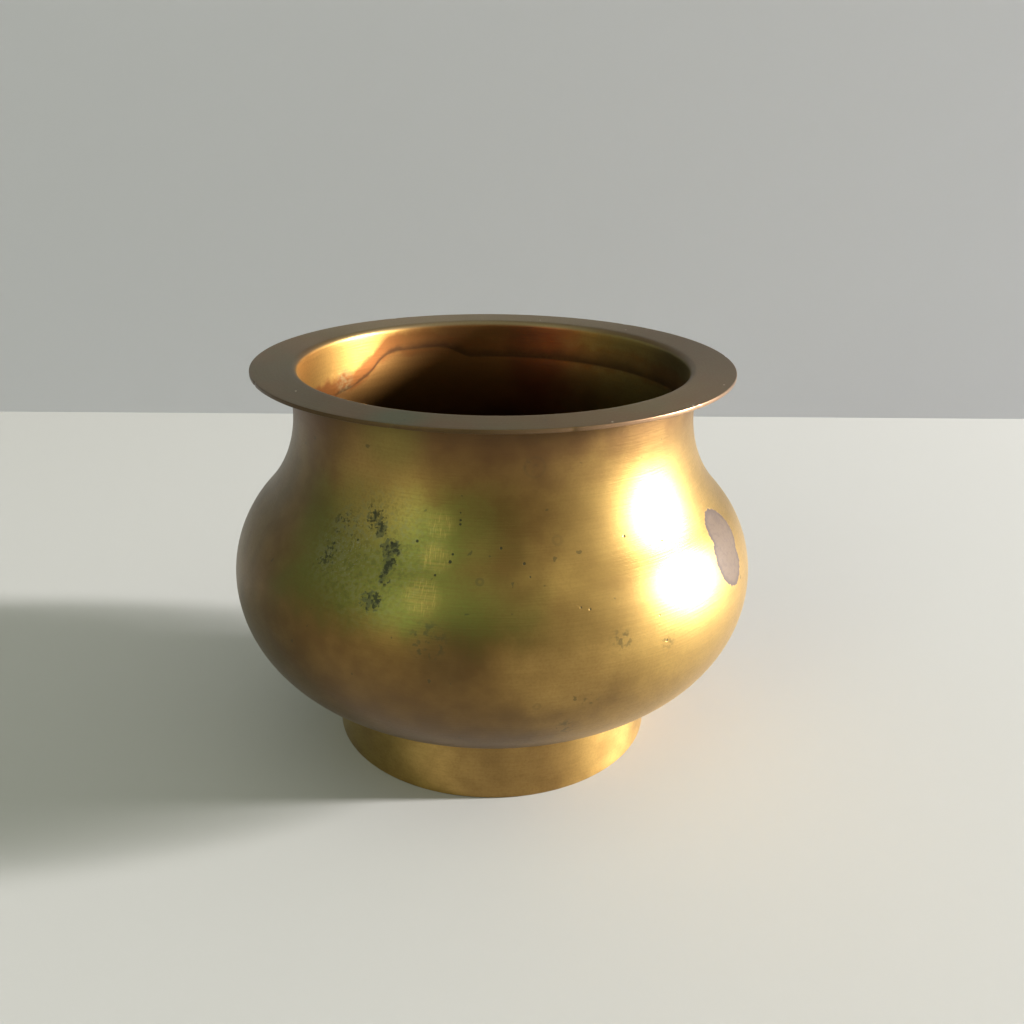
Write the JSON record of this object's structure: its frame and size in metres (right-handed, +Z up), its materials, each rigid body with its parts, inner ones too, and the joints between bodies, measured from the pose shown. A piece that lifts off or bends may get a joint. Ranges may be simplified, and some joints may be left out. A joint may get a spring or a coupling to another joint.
{
  "type": "water pot",
  "caption": "Squat round brass water pot (lota) with a wide flat lip, a short straight neck and a plain foot ring.",
  "frame": {"origin": "centre of the foot ring's underside, on the floor", "axes": "+Z up along the pot's axis of turning; the pot is round, so +X and +Y have no feature of their own"},
  "size_m": [0.1, 0.1, 0.075],
  "materials": {
    "body_brass": "turned, satin, tarnished olive to red-brown",
    "foot_brass": "turned, satin, lightly tarnished",
    "braze": "spelter, scraped flush"
  },
  "bodies": {
    "root": {"lip_and_neck_collar": "body_brass", "neck_braze_seam": "braze", "shoulder_shell": "body_brass", "belly_braze_seam": "braze", "bowl_shell": "body_brass", "foot_ring": "foot_brass", "foot_braze_fillet": "braze"}
  },
  "joints": []
}
